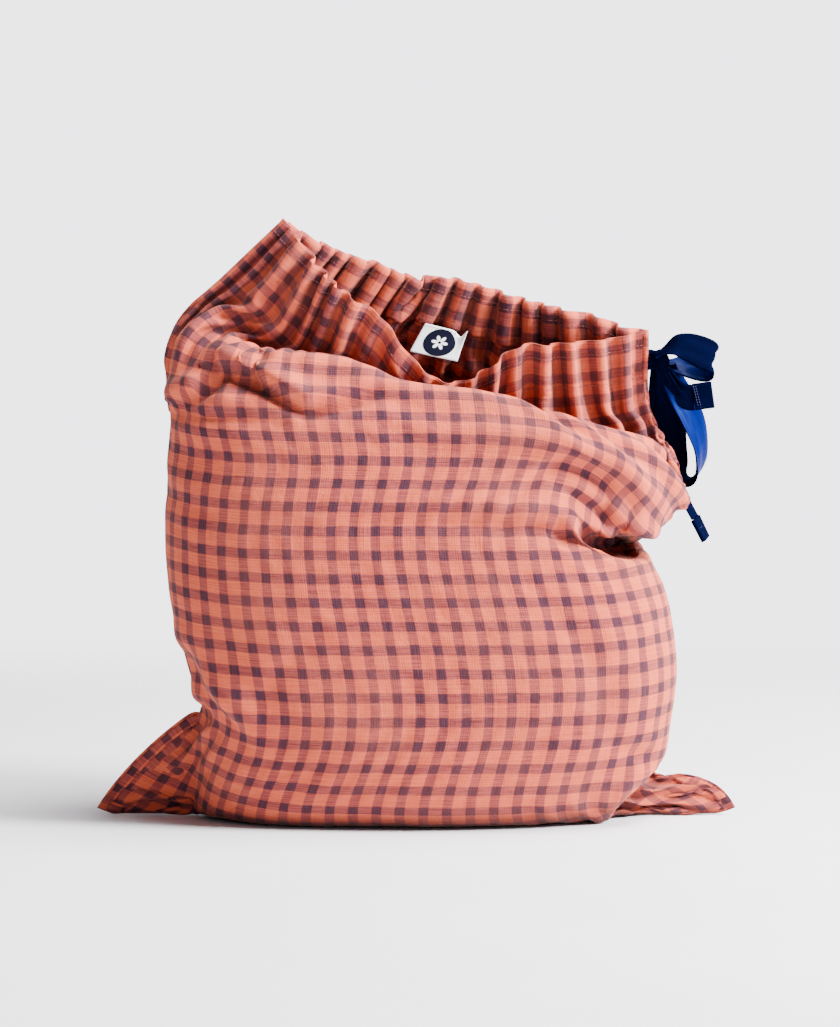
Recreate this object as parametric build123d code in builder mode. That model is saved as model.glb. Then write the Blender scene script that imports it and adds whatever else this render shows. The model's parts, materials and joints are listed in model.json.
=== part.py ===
"""Fabric gift sack: a filled drawstring bag with a gathered collar and a ribbon tied at its right end.

Frame: +Z up, the floor at z = 0, +X to the right, the front of the sack faces -Y. Millimetres.
"""
from build123d import *
import math
import os

os.makedirs("parts", exist_ok=True)

# ---- driving dimensions -------------------------------------------------
SACK_WIDTH = 384.0  # ear tip to ear tip, which is the width of the flat bag along its bottom seam
SACK_DEPTH = 150.0  # front to back of the filled body
CLOTH = 1.6  # wall of the cloth solids: the linen, its crumples and the air between them
RIBBON_WIDTH = 16.0
RIBBON_THICK = 0.8
FIT_GAP = 0.3  # between soft pieces that lie against each other

# Collar: the gathered ring of cloth at the mouth, which leans to the right
COLLAR_RIGHT_TIP = (139.0, 296.0)  # x, z of the rim at the right end
COLLAR_LEFT_TIP = (-80.0, 364.0)  # x, z of the rim at the left end
COLLAR_HEIGHT = 54.0
HEADING = 7.0  # ruffle above the ribbon channel
CHANNEL = RIBBON_WIDTH + 1.0
MOUTH_DEPTH = 72.0  # front to back of the open part of the mouth
BEAK_DEPTH = 18.0  # front to back of the pinched right end
BEAK_LENGTH = 60.0
LEAN_GAP = 7.0  # open cloth between the neck of the body and the collar, which takes up the lean

SEAM_ALLOWANCE = 10.0
LABEL_SIZE = (28.0, 19.0)
EMBLEM_DIAMETER = 17.0

# ---- places worked out from them ----------------------------------------
RIM_LENGTH = math.dist(COLLAR_RIGHT_TIP, COLLAR_LEFT_TIP)
ALONG_X = (COLLAR_RIGHT_TIP[0] - COLLAR_LEFT_TIP[0]) / RIM_LENGTH
ALONG_Z = (COLLAR_RIGHT_TIP[1] - COLLAR_LEFT_TIP[1]) / RIM_LENGTH
COLLAR_BASE_X = (COLLAR_RIGHT_TIP[0] + COLLAR_LEFT_TIP[0]) / 2 + COLLAR_HEIGHT * ALONG_Z
COLLAR_BASE_Z = (COLLAR_RIGHT_TIP[1] + COLLAR_LEFT_TIP[1]) / 2 - COLLAR_HEIGHT * ALONG_X
collar_plane = Plane(
    origin=(COLLAR_BASE_X, 0, COLLAR_BASE_Z), x_dir=(ALONG_X, 0, ALONG_Z), z_dir=(-ALONG_Z, 0, ALONG_X)
)
CHANNEL_TOP = COLLAR_HEIGHT - HEADING
CHANNEL_FOOT = CHANNEL_TOP - CHANNEL
CHANNEL_MIDDLE = CHANNEL_FOOT + CHANNEL / 2
FACING_FOOT = CHANNEL_FOOT - 6.0
RIBBON_INSET = CLOTH + FIT_GAP
FACING_INSET = RIBBON_INSET + RIBBON_THICK + FIT_GAP
front_half = Plane.XZ  # its normal is -Y, so the front half is on its top side


def body_form(inset):
    """The filled body as one loft, from the floor to the neck. inset shrinks it all round."""
    shoulder = collar_plane.offset(-42)
    # plane, centre along x, width, depth
    sections = [
        (Plane.XY.offset(inset), 5, 266, SACK_DEPTH * 0.78),
        (Plane.XY.offset(60), 9, 286, SACK_DEPTH * 0.98),
        (Plane.XY.offset(120), 2, 306, SACK_DEPTH),
        (Plane((-9, 0, 182), x_dir=(1, 0, -0.09), z_dir=(0.09, 0, 1)), 0, 286, SACK_DEPTH * 0.95),
        (shoulder, 1, 322, SACK_DEPTH * 0.8),
        (collar_plane.offset(-20), 2, 272, SACK_DEPTH * 0.62),
        (collar_plane.offset(-LEAN_GAP + inset), 0, 232, SACK_DEPTH * 0.5),
    ]
    with BuildPart() as form:
        for plane, centre, width, depth in sections:
            with BuildSketch(plane):
                with Locations((centre, 0)):
                    RectangleRounded(width - 2 * inset, depth - 2 * inset, (depth - 2 * inset) * 0.44)
        loft(ruled=True)
    return form.part


EAR_ROOT = 105.0  # where an ear leaves the filled body, from the middle
LEFT_EAR_HEIGHT = 94.0
RIGHT_EAR_HEIGHT = 43.0
EAR_TIP_HEIGHT = 9.0
EAR_TIP_DEPTH = 10.0
EAR_EDGE_ROUND = 3.0


def ear(side):
    """A bottom corner of the flat bag, pressed flat. side is -1 for the left one and 1 for the right one."""
    root = side * EAR_ROOT
    tip = side * SACK_WIDTH / 2
    root_height = LEFT_EAR_HEIGHT if side < 0 else RIGHT_EAR_HEIGHT
    with BuildPart() as corner:
        for x, height, depth in ((root, root_height, SACK_DEPTH * 0.58), (tip, EAR_TIP_HEIGHT, EAR_TIP_DEPTH)):
            with BuildSketch(Plane(origin=(x, 0, 0), x_dir=(0, 1, 0), z_dir=(1, 0, 0))):
                with Locations((0, height / 2)):
                    Rectangle(depth, height)
        loft()
        edge_round = corner.edges().filter_by(GeomType.LINE).group_by(Axis.Z)[-1]
        fillet(edge_round, EAR_EDGE_ROUND)
    return corner.part


def collar_plan(inset):
    """The plan of the collar ring: an open round mouth with a pinched right end. inset shrinks it."""
    left = -RIM_LENGTH / 2 + inset
    right = RIM_LENGTH / 2 - inset
    round_length = RIM_LENGTH - BEAK_LENGTH - 2 * inset
    with BuildSketch() as plan:
        with Locations((left + round_length / 2, 0)):
            RectangleRounded(round_length, MOUTH_DEPTH - 2 * inset, MOUTH_DEPTH * 0.48 - inset)
        with Locations((right - BEAK_LENGTH, 0)):
            Rectangle(2 * BEAK_LENGTH, BEAK_DEPTH - 2 * inset)
        inner_corners = plan.vertices().filter_by_position(Axis.X, left + round_length - MOUTH_DEPTH / 3, right - 1)
        fillet(inner_corners, BEAK_DEPTH + inset)
        fillet(plan.vertices().group_by(Axis.X)[-1], BEAK_DEPTH * 0.4 - inset)
    return plan.sketch


def collar_ring(outside, inside, foot, top):
    """A ring that follows the collar, between two insets and two heights above the collar's base."""
    with BuildPart() as ring:
        with BuildSketch(collar_plane.offset(foot)):
            add(collar_plan(outside))
            add(collar_plan(inside), mode=Mode.SUBTRACT)
        extrude(amount=top - foot)
    return ring.part


def write(piece, name):
    """Names one finished piece and writes it as its own node."""
    piece.label = name
    export_step(piece, f"parts/{name}.step")


# ---- body of the sack ----------------------------------------------------
outer_form = body_form(0)
inner_form = body_form(CLOTH)
left_ear = ear(-1)
right_ear = ear(1)

with BuildPart() as front_panel:
    add(outer_form)
    add(left_ear)
    add(right_ear)
    add(inner_form, mode=Mode.SUBTRACT)
    split(bisect_by=front_half, keep=Keep.TOP)
write(front_panel.part, "front_panel")

with BuildPart() as back_panel:
    add(outer_form)
    add(left_ear)
    add(right_ear)
    add(inner_form, mode=Mode.SUBTRACT)
    split(bisect_by=front_half, keep=Keep.BOTTOM)
write(back_panel.part, "back_panel")

# The seam allowances stand inwards from the walls, where the two panels meet.
seam_core = body_form(CLOTH + SEAM_ALLOWANCE)
SEAM_THICK = 2.0
SIDE_SEAM_FOOT = 40.0


def seam_strip(low_corner, high_corner):
    """The part of the seam allowance that lies between two corners of a box in x and z."""
    width = high_corner[0] - low_corner[0]
    height = high_corner[1] - low_corner[1]
    with BuildPart() as strip:
        with BuildSketch(Plane.XZ.offset(-SEAM_THICK / 2)):
            with Locations(((low_corner[0] + high_corner[0]) / 2, (low_corner[1] + high_corner[1]) / 2)):
                Rectangle(width, height)
        extrude(amount=SEAM_THICK)
        add(inner_form, mode=Mode.INTERSECT)
        add(seam_core, mode=Mode.SUBTRACT)
    return strip.part


SEAM_TOP = 300.0
BOTTOM_SEAM_TOP = 12.0
BOTTOM_SEAM_HALF = 110.0
HALF_BOX = 200.0
write(seam_strip((-HALF_BOX, SIDE_SEAM_FOOT), (-BOTTOM_SEAM_HALF, SEAM_TOP)), "left_side_seam")
write(seam_strip((BOTTOM_SEAM_HALF, SIDE_SEAM_FOOT), (HALF_BOX, SEAM_TOP)), "right_side_seam")
write(seam_strip((-BOTTOM_SEAM_HALF, 0), (BOTTOM_SEAM_HALF, BOTTOM_SEAM_TOP)), "bottom_seam")

# ---- collar ----------------------------------------------------------------
# The exit is a gap in the right side seam of the collar, as high as the channel.
SLOT_DEPTH = BEAK_DEPTH - 2 * CLOTH
SLOT_LENGTH = 12.0


def collar_half(outside, inside, foot, top, keep):
    """The front or the back half of a collar ring, with the ribbon's exit left open at the right end."""
    with BuildPart() as half:
        add(collar_ring(outside, inside, foot, top))
        split(bisect_by=front_half, keep=keep)
        with BuildSketch(collar_plane.offset(CHANNEL_FOOT)):
            with Locations((RIM_LENGTH / 2, 0)):
                Rectangle(SLOT_LENGTH, SLOT_DEPTH)
        extrude(amount=CHANNEL, mode=Mode.SUBTRACT)
    return half.part


write(collar_half(0, CLOTH, 0, COLLAR_HEIGHT, Keep.TOP), "front_collar")
write(collar_half(0, CLOTH, 0, COLLAR_HEIGHT, Keep.BOTTOM), "back_collar")

FACING_INSIDE = FACING_INSET + CLOTH
FACING_RIGHT_END = RIM_LENGTH / 2 - 8.0


def facing_half(keep):
    """The turned-down hem inside the collar, which closes the ribbon channel. It stops short of the exit."""
    with BuildPart() as hem:
        add(collar_ring(FACING_INSET, FACING_INSIDE, FACING_FOOT, COLLAR_HEIGHT - 1))
        split(bisect_by=front_half, keep=keep)
        end_plane = Plane(
            origin=collar_plane.from_local_coords((FACING_RIGHT_END, 0, 0)), z_dir=collar_plane.x_dir
        )
        split(bisect_by=end_plane, keep=Keep.BOTTOM)
    return hem.part


write(facing_half(Keep.TOP), "front_facing")
write(facing_half(Keep.BOTTOM), "back_facing")

# The channel ribbon lies round the mouth and ends where the two straight pulling strands take over.
STRAND_START = RIM_LENGTH / 2 - 50.0
RIBBON_FOOT = CHANNEL_FOOT + 0.5
with BuildPart() as channel_ribbon:
    add(collar_ring(RIBBON_INSET, RIBBON_INSET + RIBBON_THICK, RIBBON_FOOT, RIBBON_FOOT + RIBBON_WIDTH))
    strand_plane = Plane(
        origin=collar_plane.from_local_coords((STRAND_START - 0.5, 0, 0)), z_dir=collar_plane.x_dir
    )
    split(bisect_by=strand_plane, keep=Keep.BOTTOM)
write(channel_ribbon.part, "channel_ribbon")

# Rows of machine stitching run round the outside of the collar, above and below the channel.
STITCH_PROUD = 0.4
STITCH_HEIGHT = 0.8
STITCH_GAP = 0.05


def stitch_rows(keep):
    """Both rows of stitching on one half of the collar."""
    with BuildPart() as rows:
        for level in (CHANNEL_FOOT - 1.0, CHANNEL_TOP + 1.0):
            with BuildSketch(collar_plane.offset(level)):
                add(collar_plan(-STITCH_PROUD - STITCH_GAP))
                add(collar_plan(-STITCH_GAP), mode=Mode.SUBTRACT)
            extrude(amount=STITCH_HEIGHT)
        split(bisect_by=front_half, keep=keep)
    return rows.part


write(stitch_rows(Keep.TOP), "front_channel_stitching")
write(stitch_rows(Keep.BOTTOM), "back_channel_stitching")

# Bar tacks close the side seam above and below the exit.
TACK_LENGTH = 2.0
TACK_WIDTH = 8.0
TACK_THICK = 1.0
TACK_OUT = TACK_THICK / 2 + 0.1  # its middle beyond the end of the collar
with BuildPart() as exit_bar_tacks:
    for level in (CHANNEL_FOOT - 5.0, CHANNEL_TOP + 3.5):
        with BuildSketch(collar_plane.offset(level)):
            with Locations((RIM_LENGTH / 2 + TACK_OUT, 0)):
                Rectangle(TACK_THICK, TACK_WIDTH)
        extrude(amount=TACK_LENGTH)
write(exit_bar_tacks.part, "exit_bar_tacks")

# ---- label ------------------------------------------------------------------
# The label hangs from its sewn top edge against the back facing, in the mouth.
LABEL_ALONG = -4.0
LABEL_THICK = 0.6
LABEL_DROP = 8.0  # the label's sewn edge below the foot of the facing
LABEL_TOP = FACING_FOOT - LABEL_DROP
LABEL_STAND_OFF = 2.0  # between the facing and the back of the label
label_back = MOUTH_DEPTH / 2 - FACING_INSIDE - LABEL_STAND_OFF
label_plane = Plane(
    origin=collar_plane.from_local_coords((LABEL_ALONG, label_back, LABEL_TOP)),
    x_dir=collar_plane.x_dir,
    z_dir=(0, -1, 0),
)
with BuildPart() as label:
    with BuildSketch(label_plane):
        with Locations((0, -LABEL_SIZE[1] / 2)):
            Rectangle(*LABEL_SIZE)
    extrude(amount=LABEL_THICK)
write(label.part, "label")

EMBLEM_THICK = 0.2
with BuildPart() as label_emblem:
    with BuildSketch(label_plane.offset(LABEL_THICK)):
        with Locations((0, -LABEL_SIZE[1] / 2)):
            Circle(EMBLEM_DIAMETER / 2)
    extrude(amount=EMBLEM_THICK)
write(label_emblem.part, "label_emblem")

LABEL_SEAM_HEIGHT = 2.0
LABEL_SEAM_GAP = 0.8  # room for the label's top edge to turn
LABEL_SEAM_BACK = 1.2  # how far the seam reaches behind the label, towards the facing
LABEL_SEAM_THICK = 1.5
with BuildPart() as label_stitching:
    with BuildSketch(label_plane.offset(-LABEL_SEAM_BACK)):
        with Locations((0, LABEL_SEAM_HEIGHT / 2 + LABEL_SEAM_GAP)):
            Rectangle(LABEL_SIZE[0], LABEL_SEAM_HEIGHT)
    extrude(amount=LABEL_SEAM_THICK)
write(label_stitching.part, "label_stitching")

# ---- ribbon at the exit -------------------------------------------------------
KNOT_OUT = 12.0  # the knot's centre beyond the end of the collar
knot_centre = collar_plane.from_local_coords((RIM_LENGTH / 2 + KNOT_OUT, 0, CHANNEL_MIDDLE))
KNOT_LENGTH = 11.0
KNOT_DEPTH = 20.0
KNOT_HEIGHT = 17.0
KNOT_ROUND = 3.0
strand_end = RIM_LENGTH / 2 + KNOT_OUT - KNOT_LENGTH / 2

strand_face = BEAK_DEPTH / 2 - RIBBON_INSET - RIBBON_THICK / 2
with BuildPart() as ribbon_run:
    with BuildSketch(collar_plane.offset(RIBBON_FOOT)):
        with Locations(
            ((STRAND_START + strand_end) / 2, strand_face), ((STRAND_START + strand_end) / 2, -strand_face)
        ):
            Rectangle(strand_end - STRAND_START, RIBBON_THICK)
    extrude(amount=RIBBON_WIDTH)
write(ribbon_run.part, "ribbon_run")

knot_plane = Plane(origin=knot_centre, x_dir=collar_plane.x_dir, z_dir=collar_plane.z_dir)
with BuildPart() as bow_knot:
    with BuildSketch(knot_plane.offset(-KNOT_HEIGHT / 2)):
        Rectangle(KNOT_LENGTH, KNOT_DEPTH)
    extrude(amount=KNOT_HEIGHT)
    fillet(bow_knot.edges().filter_by(Axis.Y), KNOT_ROUND)
write(bow_knot.part, "bow_knot")


def ribbon_route(points, across):
    """A flat ribbon on a route of x, z steps from the knot's centre, its width along Y about across."""
    places = [Vector(knot_centre.X + x, across, knot_centre.Z + z) for x, z in points]
    runs = [end - start for start, end in zip(places, places[1:])]
    radii = []
    for before, after in zip(runs, runs[1:]):
        half_turn = math.radians(before.get_angle(after)) / 2
        radii.append(0.45 * min(before.length, after.length) / math.tan(half_turn))
    with BuildPart() as ribbon:
        with BuildLine() as route:
            FilletPolyline(*places, radius=radii)
        path = route.wires()[0]
        with BuildSketch(Plane(origin=path @ 0, x_dir=(0, 1, 0), z_dir=path % 0)):
            Rectangle(RIBBON_WIDTH, RIBBON_THICK)
        sweep(path=path)
    section_volume = path.length * RIBBON_WIDTH * RIBBON_THICK
    print("route", round(path.length, 1), "mm, radii", [round(r, 1) for r in radii])
    print("volume", round(ribbon.part.volume), "section x length", round(section_volume))
    return ribbon.part


SLAB = RIBBON_WIDTH + 1.0  # the loops and tails hang side by side, one ribbon apart in depth
UPPER_LOOP_ROUTE = [(10.5, 3), (17, 11), (27, 9), (34, 1), (31, -6), (22, -5), (13.5, -2)]
HANGING_LOOP_ROUTE = [(-1, -12), (-1, -32), (2, -54), (10, -72), (20, -74), (24, -60), (20, -40), (11, -22), (5, -12)]
LONG_TAIL_ROUTE = [(-3, -12), (0, -32), (6, -53), (15, -70), (23, -84), (29, -96)]
SHORT_TAIL_ROUTE = [(7, -5), (15, -11), (22, -18), (26, -26)]
write(ribbon_route(UPPER_LOOP_ROUTE, 0), "upper_loop")
write(ribbon_route(HANGING_LOOP_ROUTE, 0), "hanging_loop")
write(ribbon_route(LONG_TAIL_ROUTE, SLAB), "long_tail")
write(ribbon_route(SHORT_TAIL_ROUTE, -SLAB), "short_tail")

# Each cut end is folded over twice and stitched, so that it doesn't fray.
HEM_LENGTH = 15.0
HEM_THICK = 2.4


def tail_hem(route, across, length):
    """The folded end of a tail: a thicker block that goes on in the direction of the route's last run."""
    end = Vector(knot_centre.X + route[-1][0], across, knot_centre.Z + route[-1][1])
    direction = Vector(route[-1][0] - route[-2][0], 0, route[-1][1] - route[-2][1])
    with BuildPart() as hem:
        with BuildSketch(Plane(origin=end, x_dir=(0, 1, 0), z_dir=direction)):
            Rectangle(RIBBON_WIDTH, HEM_THICK)
        extrude(amount=length)
    return hem.part


write(tail_hem(LONG_TAIL_ROUTE, SLAB, HEM_LENGTH), "long_tail_hem")
write(tail_hem(SHORT_TAIL_ROUTE, -SLAB, HEM_LENGTH / 3), "short_tail_hem")

print("knot centre", knot_centre, "collar base", collar_plane.origin, "slide axis", collar_plane.x_dir)
print("label hinge", label_plane.origin)
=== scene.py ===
"""The looks of the fabric gift sack: gingham linen, gathered collar, velvet ribbon bow and woven label.

Lengths are metres in the part's own frame: +Z up, the front of the sack faces -Y, the floor is z = 0.
"""
import json
import math

import bpy
import numpy as np
from mathutils import Matrix, Vector


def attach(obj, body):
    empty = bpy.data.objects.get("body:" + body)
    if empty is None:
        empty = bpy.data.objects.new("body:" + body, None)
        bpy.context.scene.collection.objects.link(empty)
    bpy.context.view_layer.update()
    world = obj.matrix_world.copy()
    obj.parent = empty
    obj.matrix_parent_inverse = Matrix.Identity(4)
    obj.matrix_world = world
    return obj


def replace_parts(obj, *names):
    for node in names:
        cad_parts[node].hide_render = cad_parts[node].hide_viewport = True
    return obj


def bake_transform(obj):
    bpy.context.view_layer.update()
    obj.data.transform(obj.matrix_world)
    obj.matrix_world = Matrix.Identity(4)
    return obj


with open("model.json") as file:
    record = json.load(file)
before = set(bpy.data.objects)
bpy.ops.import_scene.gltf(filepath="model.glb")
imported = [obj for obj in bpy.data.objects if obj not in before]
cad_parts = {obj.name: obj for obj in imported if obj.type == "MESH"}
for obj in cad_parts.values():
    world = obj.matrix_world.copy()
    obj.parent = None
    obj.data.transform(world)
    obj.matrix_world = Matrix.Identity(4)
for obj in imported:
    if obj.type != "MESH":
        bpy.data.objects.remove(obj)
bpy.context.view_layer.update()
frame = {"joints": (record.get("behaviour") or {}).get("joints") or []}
MM = 0.001

# ---- places taken from the frame ------------------------------------------
joints = {joint["name"]: joint for joint in frame["joints"]}
collar_along = Vector(joints["collar_lean"]["axis"])
collar_up = Vector((-collar_along.z, 0, collar_along.x))
knot = Vector(joints["ribbon_pull"]["pos_m"])


def make_camera():
    """A long lens a little above the table, straight in front of the sack."""
    view_height = 0.621
    distance = 2.2
    elevation = math.radians(5.0)
    aim = Vector((0.0018, 0.0, 0.184))
    data = bpy.data.cameras.new("camera")
    data.sensor_width = 36
    data.lens = 36 * distance / view_height
    camera = bpy.data.objects.new("camera", data)
    bpy.context.scene.collection.objects.link(camera)
    camera.location = aim + distance * Vector((0, -math.cos(elevation), math.sin(elevation)))
    camera.rotation_euler = (aim - camera.location).to_track_quat("-Z", "Y").to_euler()
    bpy.context.scene.camera = camera


make_camera()

# ---- cloth: flat pattern ----------------------------------------------------
CLOTH_HEIGHT = 0.420  # bottom seam to rim
CLOTH_WIDTH = 0.390  # left seam to right seam
CELL = 0.003
COLUMNS = int(round(CLOTH_WIDTH / CELL)) + 1
ROWS = int(round(CLOTH_HEIGHT / CELL)) + 1
across = np.linspace(0, 1, COLUMNS)  # 0 at the left seam, 1 at the right seam
up = np.linspace(0, CLOTH_HEIGHT, ROWS) / MM  # millimetres of cloth above the bottom seam
across_fine = np.linspace(0, 1, 2 * COLUMNS - 1)
up_fine = np.linspace(0, CLOTH_HEIGHT, 2 * ROWS - 1) / MM

# The side seams: cloth height, x, z. They are the sack's outline from the ears up to the rim, with a small
# tuck where the left ear is pinched and a deep one in the right side, under the slumped shoulder.
LEFT_SEAM = [
    (0, -195, 4), (20, -184, 20), (48, -164, 41), (84, -132, 65), (91, -126, 67), (98, -131, 70),
    (128, -140, 98),
    (167, -149, 137), (212, -151, 182), (258, -149, 228), (285, -148, 254),
]
RIGHT_SEAM = [
    (0, 194, 5), (18, 184, 17), (33, 171, 24), (58, 143, 25), (88, 152, 56), (120, 156, 88), (160, 150, 128),
    (203, 131, 163), (231, 110, 167), (257, 133, 168), (285, 157, 184),
]
SEAM_DEPTH = 20  # the bottom seam lies this far in front of the middle
# The filled part's rows: cloth height, left x, right x, half depth, z of its middle, boxiness.
FRONT_FILLING = [
    (0, -134, 132, SEAM_DEPTH, 0.8, 1.8), (18, -135, 134, 38, 0.8, 1.9), (32, -135, 136, 52, 1.0, 2.0),
    (49, -134, 141, 64, 13, 2.2), (70, -132, 147, 69, 33, 2.5), (97, -132, 153, 71, 60, 2.8),
    (125, -138, 156, 71, 88, 3.0), (165, -148, 150, 70, 128, 3.0), (205, -151, 134, 68, 168, 2.8),
    (231, -150, 120, 66, 194, 2.8), (257, -149, 134, 62, 220, 2.8),
]
BACK_FILLING = [
    (0, -126, 128, -SEAM_DEPTH, 0.8, 2.2), (18, -127, 130, -2, 0.8, 2.3), (40, -128, 133, 20, 1.0, 2.5),
    (64, -129, 141, 44, 2, 2.7), (82, -130, 147, 59, 11, 2.8), (105, -132, 153, 67, 32, 2.9),
    (125, -138, 156, 69, 51, 3.0), (165, -148, 150, 71, 91, 3.0), (205, -151, 134, 70, 131, 2.8),
    (231, -150, 120, 69, 157, 2.8), (257, -149, 134, 68, 183, 2.8),
]
# The upper rows of each panel: cloth height, then share of the way across, x, distance from the seams, z.
# The front rolls over a crest at its shoulder, drops behind it and climbs to the rim.
FRONT_UPPER = [
    (285, [
        (0, -148, 0, 254), (0.06, -147, 22, 250), (0.15, -132, 46, 247), (0.3, -80, 57, 246),
        (0.5, 0, 57, 244),
        (0.7, 82, 57, 236), (0.85, 134, 44, 212), (0.94, 154, 20, 196), (1, 157, 0, 184),
    ]),
    (310, [
        (0, -152, 0, 278), (0.08, -146, 18, 274), (0.18, -120, 36, 269), (0.3, -79, 48, 269),
        (0.42, -36, 47, 268),
        (0.5, -2, 44, 264), (0.6, 36, 44, 261), (0.7, 68, 45, 251), (0.8, 104, 42, 240), (0.92, 150, 20, 214),
        (1, 163, 0, 197),
    ]),
    (328, [
        (0, -147, 0, 294), (0.08, -139, 16, 293), (0.18, -112, 30, 287), (0.3, -78, 38, 284),
        (0.42, -36, 38, 279),
        (0.5, -3, 33, 254), (0.6, 34, 33, 250), (0.7, 66, 34, 240), (0.8, 99, 31, 237), (0.92, 143, 14, 222),
        (1, 156, 0, 214),
    ]),
    (350, [
        (0, -132, 0, 313), (0.1, -116, 10, 305), (0.2, -95, 18, 284), (0.3, -70, 24, 270),
        (0.42, -32, 25, 260),
        (0.5, 0, 24, 236), (0.6, 32, 24, 232), (0.7, 64, 25, 224), (0.8, 96, 22, 224), (0.92, 133, 9, 226),
        (1, 147, 0, 229),
    ]),
    (372, [
        (0, -116, 0, 327), (0.1, -100, 12, 312), (0.2, -80, 15, 289), (0.3, -60, 17, 274),
        (0.42, -28, 17, 256),
        (0.5, 0, 17, 224), (0.6, 32, 17, 222), (0.7, 62, 16, 238), (0.8, 90, 14, 240), (0.92, 122, 7, 243),
        (1, 140, 0, 248),
    ]),
    (420, [
        (0, -80, 0, 361), (0.1, -69, 16, 347), (0.2, -56, 26, 331), (0.3, -41, 29, 318), (0.38, -21, 28, 303),
        (0.45, -6, 26, 277), (0.55, 26, 24, 266), (0.62, 44, 24, 276), (0.7, 62, 23, 288),
        (0.78, 82, 18, 286),
        (0.84, 93, 13, 288), (0.92, 116, 8, 288), (1, 139, 0, 294),
    ]),
]
BACK_UPPER = [
    (285, [
        (0, -148, 0, 254), (0.06, -147, 22, 246), (0.15, -132, 48, 228), (0.3, -80, 65, 214),
        (0.5, 0, 67, 210),
        (0.7, 82, 65, 204), (0.85, 134, 48, 194), (0.94, 154, 22, 187), (1, 157, 0, 184),
    ]),
    (330, [
        (0, -146, 0, 296), (0.1, -132, 24, 286), (0.2, -104, 44, 270), (0.35, -60, 58, 258),
        (0.5, -4, 61, 252),
        (0.65, 54, 58, 244), (0.8, 104, 44, 230), (0.92, 145, 18, 216), (1, 155, 0, 216),
    ]),
    (372, [
        (0, -116, 0, 327), (0.1, -98, 18, 316), (0.25, -64, 34, 298), (0.5, 2, 42, 282), (0.75, 78, 32, 260),
        (0.9, 122, 11, 248), (1, 140, 0, 248),
    ]),
    (420, [
        (0, -80, 0, 361), (0.1, -64, 18, 350), (0.2, -45, 28, 341), (0.3, -23, 32, 335), (0.4, -3, 34, 324),
        (0.5, 20, 34, 325), (0.6, 42, 33, 320), (0.7, 64, 28, 314), (0.8, 86, 20, 310), (0.88, 108, 12, 306),
        (0.94, 122, 6, 297), (1, 139, 0, 294),
    ]),
]
# Creases in the front: how sharp each is (mm), then its line as x, z, depth.
FRONT_CREASES = [
    (5.0, 0.8, [(135, 165, 9), (110, 168, 8), (75, 180, 5), (26, 185, 2.5),
        (-50, 184, 0.5)]),  # from the notch
    (4.0, 0.6, [(134, 170, 5), (120, 178, 6), (102, 192, 4), (80, 208, 1)]),  # up from the notch
    (4.0, 0.9, [(-141, 253, 3), (-131, 256, 7), (-121, 262, 6), (-112, 272, 3)]),  # corner pocket
    (4.0, 0.9, [(-118, 273, 3), (-92, 263, 7), (-76, 254, 7), (-66, 248, 7), (-49, 251, 5), (-29, 257, 3),
        (-18, 260, 0)]),
    (5.0, 0.7, [(-142, 247, 3), (-113, 245, 4), (-80, 243, 1.5)]),
    (6.0, 0.8, [(-138, 100, 3), (-130, 83, 6), (-120, 71, 7), (-109, 61, 5), (-100, 45, 1)]),  # left pinch
    (6.0, 0.6, [(-131, 66, 6), (-120, 58, 4), (-112, 44, 1)]),
    (5.0, 0.8, [(142, 24, 6), (130, 14, 6), (122, 3, 3)]),  # right pinch
    (6.0, 0.5, [(146, 34, 3), (134, 42, 3), (118, 50, 1)]),
    (7.0, 0.5, [(-152, 200, 1.5), (-120, 188, 1.5), (-70, 184, 0.5)]),
    (8.0, 0.5, [(40, 40, 0.5), (85, 62, 1.8), (125, 96, 1.8), (150, 120, 0.5)]),
    (9.0, 0.5, [(60, 150, 0.5), (92, 120, 1.8), (110, 84, 1.6), (112, 40, 0.5)]),
    (8.0, 0.5, [(-60, 120, 0.4), (-84, 90, 1.5), (-100, 60, 0.5)]),
]
RIM = CLOTH_HEIGHT / MM
UNDER = int(0.100 / CELL)  # rows that lie under the sack or in its ears
FLOOR_GAP = 0.7  # the cloth's own thickness keeps its outer face on the floor
FINE_PLEAT = 4.0  # half height of the gathers at the collar, in millimetres
COARSE_PLEAT = 2.6  # and of the wider folds that run on down into the neck
CRUMPLE = 0.22  # strength of the small dents all over
RELAX_STEPS = 260
SAG = 0.004  # how far the cloth sinks at each step


def smooth_curve(points, where):
    """A smooth curve through listed points, read at the given places. The first column is the place."""
    table = np.array(points, float)
    return smooth_rows(table[:, 0], table[:, 1:], where)


def smooth_rows(places, values, where):
    slopes = np.gradient(values, places, axis=0)
    slot = np.clip(np.searchsorted(places, where, side="right") - 1, 0, len(places) - 2)
    shape = (-1,) + (1,) * (values.ndim - 1)
    span = (places[slot + 1] - places[slot]).reshape(shape)
    t = ((where - places[slot]) / span.reshape(-1)).reshape(shape)
    start = (2 * t**3 - 3 * t**2 + 1) * values[slot] + (t**3 - 2 * t**2 + t) * span * slopes[slot]
    end = (-2 * t**3 + 3 * t**2) * values[slot + 1] + (t**3 - t**2) * span * slopes[slot + 1]
    return start + end


def smooth_step(low, high, value):
    t = np.clip((value - low) / (high - low), 0, 1)
    return t * t * (3 - 2 * t)


def even_arc(points, shares):
    """Moves along a dense curve so that equal steps of cloth cover equal lengths of it."""
    lengths = np.r_[0, np.cumsum(np.linalg.norm(np.diff(points, axis=0), axis=1))]
    return np.column_stack([np.interp(shares * lengths[-1], lengths, points[:, k]) for k in range(3)])


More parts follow.
